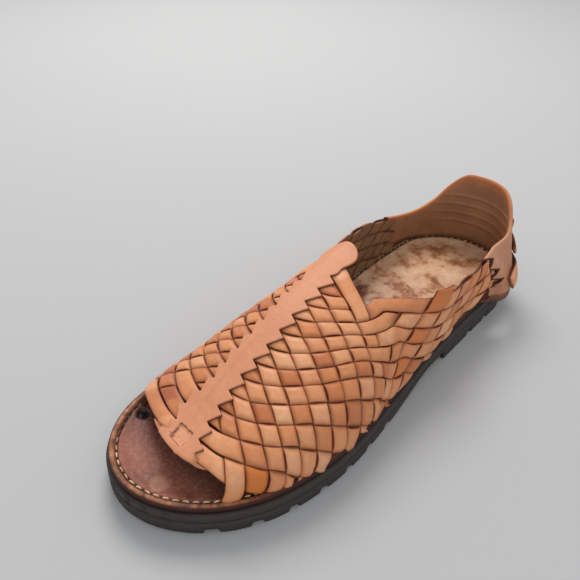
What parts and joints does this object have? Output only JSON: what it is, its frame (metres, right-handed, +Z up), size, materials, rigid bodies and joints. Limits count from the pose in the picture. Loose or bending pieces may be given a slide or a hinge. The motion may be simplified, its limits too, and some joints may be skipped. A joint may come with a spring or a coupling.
{
  "type": "huarache sandal",
  "caption": "Open-toed slip-on sandal with a hollow upper of woven leather straps, a smooth centre band, a laced heel counter and a lugged rubber sole.",
  "frame": {"origin": "on the floor, under the centre of the sandal's box", "axes": "+Y towards the heel, -Y towards the toe, +X towards the outer side of a left foot, +Z up"},
  "size_m": [0.1018, 0.295, 0.0749],
  "materials": {
    "outsole_rubber": "dull black lugged rubber, dusty at the edges",
    "midsole_rubber": "dull black rubber",
    "footbed_leather": "worn and polished brown leather, tan at the rim and heel",
    "woven_leather": "tan vegetable-tanned leather, satin, darker in the gaps",
    "band_leather": "tan vegetable-tanned leather, satin",
    "counter_leather": "brown leather with a rubbed grain"
  },
  "bodies": {
    "root": {"outsole": "outsole_rubber", "midsole": "midsole_rubber", "insole": "footbed_leather", "upper": "woven_leather", "centre_band": "band_leather", "heel_counter": "counter_leather", "back_strap_1": "woven_leather", "back_strap_2": "woven_leather", "back_strap_3": "woven_leather"}
  },
  "joints": []
}
